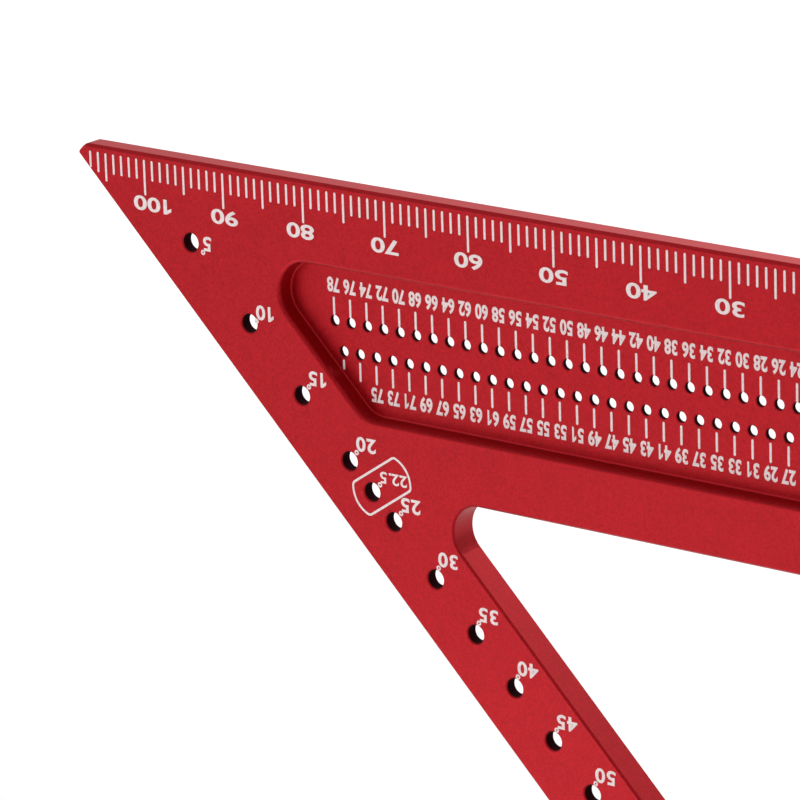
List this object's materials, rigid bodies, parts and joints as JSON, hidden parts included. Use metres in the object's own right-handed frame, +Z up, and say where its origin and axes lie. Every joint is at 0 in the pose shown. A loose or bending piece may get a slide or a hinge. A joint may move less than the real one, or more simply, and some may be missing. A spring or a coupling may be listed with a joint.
{
  "type": "speed square",
  "caption": "Triangular aluminium layout square with a ruler edge, a scribing pocket, a window, angle holes and a clamped fence.",
  "frame": {"origin": "where the ruler edge meets the fence's working face, halfway through the blade's thickness; it lies on the blade's upper edge face", "axes": "+X along the ruler edge and out of the fence's back, so the scale counts towards -X; +Z up, square to the ruler edge; +Y from the marked front face to the plain back face"},
  "size_m": [0.1334, 0.02, 0.111],
  "materials": {
    "blade_anodised": "satin red anodised",
    "fence_anodised": "satin red anodised",
    "screw_steel": "black oxide",
    "pin_steel": "ground",
    "markings": "matt off-white laser marking"
  },
  "bodies": {
    "root": {"blade": "blade_anodised", "fence_front_cheek": "fence_anodised", "fence_back_cheek": "fence_anodised", "fence_screw_1": "screw_steel", "fence_screw_2": "screw_steel", "fence_screw_3": "screw_steel", "fence_screw_4": "screw_steel", "dowel_pin_upper": "pin_steel", "dowel_pin_lower": "pin_steel"}
  },
  "joints": []
}
